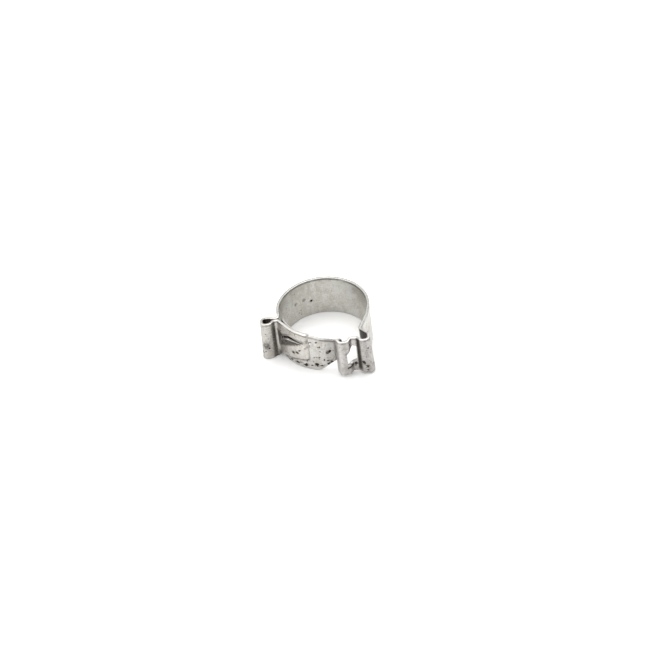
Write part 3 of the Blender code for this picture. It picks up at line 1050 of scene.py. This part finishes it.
def buildWeld(name, run, height):
    rings, sides = 5, 24
    point, side = spotOn(strip, run)
    along = Vector((-side.y, side.x, 0))
    out = Vector((side.x, side.y, 0))
    centre = Vector((ringCentre.x + point.x, ringCentre.y + point.y, height)) + out * (stripShape["thick"] / 2 - 0.05)
    vertices, faces = [], []
    for face in (1, -1):
        for r in range(1, rings + 1):
            f = r / rings
            dome = (weldShape["rise"] if face == 1 else -weldShape["sunk"]) * math.cos(f * math.pi / 2)
            for k in range(sides):
                a = 2 * math.pi * k / sides
                uneven = 1 + 0.06 * math.sin(3 * a + run) + 0.04 * math.sin(5 * a)
                reach = weldShape["size"] * f * uneven
                spot = centre + along * (1.25 * reach * math.cos(a)) + Vector((0, 0, reach * math.sin(a)))
                vertices.append((spot + out * dome) * mm)
                if r == rings and face == -1:
                    vertices.pop()
    top = len(vertices)
    vertices += [(centre + out * weldShape["rise"]) * mm, (centre - out * weldShape["sunk"]) * mm]
    rim = (rings - 1) * sides
    bottom = rings * sides
    for k in range(sides):
        n = (k + 1) % sides
        faces.append((top, k, n))
        faces.append((top + 1, bottom + n, bottom + k))
        for r in range(rings - 1):
            faces.append((r * sides + k, (r + 1) * sides + k, (r + 1) * sides + n, r * sides + n))
        for r in range(rings - 2):
            a = bottom + r * sides
            faces.append((a + n, a + sides + n, a + sides + k, a + k))
        last = bottom + (rings - 2) * sides
        faces.append((last + n, rim + n, rim + k, last + k))
    mesh = bpy.data.meshes.new(name)
    mesh.from_pydata([tuple(v) for v in vertices], [], faces)
    mesh.update()
    if signedVolume(mesh) < 0:
        mesh.flip_normals()
    count = len(mesh.vertices)
    places = np.array([(v.co.x / mm, v.co.z / mm, v.co.y / mm) for v in mesh.vertices], np.float32)
    storeValues(mesh, "stripPlace", "FLOAT_VECTOR", places)
    for label, value in (("innerSide", 0.0), ("rimGap", 1.0), ("crest", 0.0), ("soil", 0.55), ("shadeAndGrime", 0.45)):
        storeValues(mesh, label, "FLOAT", np.full(count, value, np.float32))
    mesh.shade_smooth()
    obj = bpy.data.objects.new(name, mesh)
    bpy.context.scene.collection.objects.link(obj)
    return obj


for name, node, (run, height) in zip(("weldLeft", "weldRight"), ("weld_left", "weld_right"), onFoot(footShape["welds"])):
    weld = buildWeld(name, run, height)
    dress(weld, "weld")
    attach(weld, "ear_end")
    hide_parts(node)
print("welds ready")

# inner tongue, three lengths

tongueShape = {
    "radius": 11.15,
    "thick": 0.6,
    "proud": 0.22,
    "start": -78.0,
    "cuts": [-30.0, -8.0],
    "end": 19.2,
    "lowEdge": [(-14.0, 0.0), (-8.0, 0.058), (-2.0, 0.112), (5.0, 0.165), (10.0, 0.205)],
    "highEdge": [
        (-60.0, 0.965), (-30.0, 0.952), (-25.0, 0.958), (-20.0, 0.960), (-13.0, 0.928), (-4.0, 0.872), (9.0, 0.765),
    ],
    "bulge": 0.60,  # out to the foot's own face, past and below the foot
    "endLow": 0.30,
    "endHigh": 0.74,
}
tongueMid = tongueShape["radius"] + tongueShape["proud"]
tonguePath = makePath(arcLine(tongueMid, tongueShape["start"], tongueShape["end"]))


def tongueRun(angle):
    return tongueMid * math.radians(angle - tongueShape["start"])


def edgeBetween(marks, start, end):
    # the part of an edge between two angles, as (run, height, bend radius)
    def heightAt(angle):
        last = marks[0][1]
        for (a0, h0), (a1, h1) in zip(marks, marks[1:]):
            if a0 <= angle <= a1:
                return h0 + (h1 - h0) * (angle - a0) / (a1 - a0)
            if angle > a1:
                last = h1
        return last
    inner = [(a, h) for a, h in marks if start < a < end]
    return [(tongueRun(a), h * width, 4.0) for a, h in [(start, heightAt(start))] + inner + [(end, heightAt(end))]]


def tongueLift(s, z):
    angle = tongueShape["start"] + math.degrees(s / tongueMid)
    beyond = smooth(-25.2, -24.2, angle) * (1 - smooth(-9.0, 5.0, angle))
    edge = (0.145 + 0.0045 * (angle + 62)) * width
    below = (1 - smooth(edge - 1.25, edge - 0.35, z)) * smooth(-79, -68, angle) * (1 - smooth(-24, -20, angle))
    return tongueShape["bulge"] * max(beyond, below)


def onTongue(angle, share, along, up, strength):
    return (tongueRun(angle), share * width, along, up, strength, 1)


tongueMarks = [onTongue(*mark) for mark in (
    (-59.0, 0.03, 0.7, 0.25, 1.0),
    (-54.0, 0.085, 0.7, 0.3, 1.05),
    (-44.2, 0.104, 0.6, 0.42, 1.25),
    (-32.1, 0.092, 0.8, 0.36, 1.2),
    (-23.0, 0.122, 0.38, 0.36, 1.2),
    (-16.5, 0.169, 0.60, 0.52, 1.5),
    (-20.3, 0.231, 0.30, 0.25, 1.0),
    (-10.1, 0.128, 0.62, 0.30, 1.2),
    (-10.7, 0.537, 0.42, 0.26, 1.0),
    (-6.7, 0.295, 0.30, 0.26, 1.05),
    (-2.3, 0.254, 0.34, 0.26, 1.05),
    (-1.3, 0.159, 0.58, 0.40, 1.4),
    (2.7, 0.176, 0.50, 0.36, 1.2),
    (-3.2, 0.710, 0.36, 0.22, 0.9),
    (-12.0, 0.62, 1.8, 1.2, 0.45),
    (-18.0, 0.80, 1.8, 0.9, 0.40),
    (-3.0, 0.45, 1.6, 1.4, 0.36),
    (-36.0, 0.12, 4.0, 0.9, 0.55),
)]


def tongueShade(s, z, face):
    if face == -1:
        return 0.1
    angle = tongueShape["start"] + math.degrees(s / tongueMid)
    underEdge = (0.145 + 0.0045 * (angle + 62)) * width  # where the foot's lower edge shades it
    # painted shadow on the outer face below the foot's lower edge and beside the hook; the inner face a little darker
    hidden = smooth(underEdge - 0.95, underEdge - 0.55, z) * (1 - smooth(-28.5, -26, angle))
    beside = 0.80 * smooth(7.2, 10.2, angle)  # and where the hook does
    return max(hidden, beside)


tongueWear = {"lift": tongueLift, "soil": soilFrom(tongueMarks), "shadeAndGrime": tongueShade, "extra": spotPoints(tongueMarks)}
tongueStops = [tongueShape["start"]] + tongueShape["cuts"]
lowMarks, highMarks = tongueShape["lowEdge"], tongueShape["highEdge"]
for index, name in enumerate(("tongueRoot", "tongueMiddle")):
    a, b = tongueStops[index], tongueStops[index + 1]
    low, high = edgeBetween(lowMarks, a, b), edgeBetween(highMarks, a, b)
    if index == 0:
        corners = [high[0][:2] + (0.5,), low[0][:2] + (0.5,)]
        rims = [filletLine(high[:0:-1] + corners + low[1:], 15)]
    else:
        rims = [filletLine(low, 15), filletLine(high, 15)[::-1]]
    piece = buildSheet(name, tonguePath, tongueRun(a), tongueRun(b), rims, thick=tongueShape["thick"], **tongueWear)
    dress(piece, "tongue")
    if index == 0:
        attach(piece, "ear_end")
        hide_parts("tongue_root")
    else:
        bend = [frameSpot(tongueRun(angle), tonguePath) for angle in (-29, -13)]
        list(bend)
        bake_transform(piece)
        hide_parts("tongue_middle")
low = edgeBetween(lowMarks, tongueShape["cuts"][1], 14.0)
high = edgeBetween(highMarks, tongueShape["cuts"][1], 14.0)
endRun = tongueRun(tongueShape["end"])
rims = [filletLine(
    low + [(endRun, tongueShape["endLow"] * width, 0.8), (endRun, tongueShape["endHigh"] * width, 0.8)] + high[::-1], 15,
)]
tipRun = tongueRun(tongueShape["cuts"][1])
piece = buildSheet("tongueTip", tonguePath, tipRun, endRun, rims, thick=tongueShape["thick"], **tongueWear)
dress(piece, "tongue")
frameSpot(tongueRun(-7), tonguePath)
frameSpot(tongueRun(8), tonguePath)
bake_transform(piece)
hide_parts("tongue_tip")
print("tongue ready")

# floor, light, camera

studio = {
    "floorColour": (0.96, 0.96, 0.955),
    "worldTop": (1.0, 1.0, 1.0),
    "worldSide": (0.42, 0.42, 0.41),
    "worldStrength": 1.12,
    "keyPower": 1.7,
    "fillPower": 0.5,
}


def buildFloor():
    size = 3.0
    mesh = bpy.data.meshes.new("studioFloor")
    steps = 8
    marks = [size * (k / steps - 0.5) for k in range(steps + 1)]
    vertices = [(x, y, -0.00002) for x in marks for y in marks]
    faces = []
    for i in range(steps):
        for j in range(steps):
            a = i * (steps + 1) + j
            faces.append((a, a + steps + 1, a + steps + 2, a + 1))
    mesh.from_pydata(vertices, [], faces)
    obj = bpy.data.objects.new("studioFloor", mesh)
    bpy.context.scene.collection.objects.link(obj)
    material = bpy.data.materials.new("palePaper")
    material.use_nodes = True
    shader = material.node_tree.nodes["Principled BSDF"]
    shader.inputs["Base Color"].default_value = studio["floorColour"] + (1.0,)
    shader.inputs["Roughness"].default_value = 0.9
    shader.inputs["Specular IOR Level"].default_value = 0.1
    mesh.materials.append(material)


def areaLight(name, spot, target, size, power):
    light = bpy.data.lights.new(name, "AREA")
    light.shape = "RECTANGLE"
    light.size, light.size_y = size
    light.energy = power
    obj = bpy.data.objects.new(name, light)
    obj.location = spot
    obj.rotation_euler = (Vector(target) - Vector(spot)).to_track_quat("-Z", "Y").to_euler()
    bpy.context.scene.collection.objects.link(obj)


def buildWorld():
    world = bpy.data.worlds.new("softStudio")
    world.use_nodes = True
    bpy.context.scene.world = world
    g = Graph(world.node_tree)
    place = g.node("ShaderNodeTexCoord").outputs["Generated"]
    split = g.node("ShaderNodeSeparateXYZ")
    g.wire(place, split.inputs[0])
    colour = g.mix(g.ramp(split.outputs["Z"], 0.0, 0.8), studio["worldSide"], studio["worldTop"])
    background = world.node_tree.nodes["Background"]
    g.wire(colour, background.inputs["Color"])
    background.inputs["Strength"].default_value = studio["worldStrength"]


cameraShape = {
    "elevation": 40.2,
    "turn": -0.4,
    "roll": 7.35,
    "distance": 0.4250,
    "lens": 87.47,
    "aimSide": 0.00007,
    "aimUp": -0.00060,
}


def buildCamera():
    data = bpy.data.cameras.new("studioCamera")
    data.lens = cameraShape["lens"]
    data.sensor_width = 36.0
    data.clip_start = 0.01
    data.clip_end = 20.0
    obj = bpy.data.objects.new("studioCamera", data)
    bpy.context.scene.collection.objects.link(obj)
    lean = math.radians(cameraShape["elevation"])
    target = Vector((ringCentre.x * mm, ringCentre.y * mm, width * mm / 2))
    turnAngle = math.radians(cameraShape["turn"])
    back = Vector((math.sin(turnAngle) * math.cos(lean), -math.cos(turnAngle) * math.cos(lean), math.sin(lean)))
    turn = (-back).to_track_quat("-Z", "Y").to_matrix() @ Matrix.Rotation(-math.radians(cameraShape["roll"]), 3, "Z")
    aim = target + turn @ Vector((cameraShape["aimSide"], cameraShape["aimUp"], 0))
    obj.matrix_world = Matrix.Translation(aim + back * cameraShape["distance"]) @ turn.to_4x4()
    bpy.context.scene.camera = obj


buildFloor()
buildWorld()
areaLight("topSoftbox", (0.05, 0.12, 0.50), (0, 0, 0), (0.45, 0.45), studio["keyPower"])
areaLight("leftSoftbox", (-0.45, -0.15, 0.30), (0, 0, 0), (0.30, 0.30), studio["fillPower"])
buildCamera()
bpy.context.scene.view_settings.view_transform = "Standard"
bpy.context.scene.view_settings.look = "None"
print("studio ready")
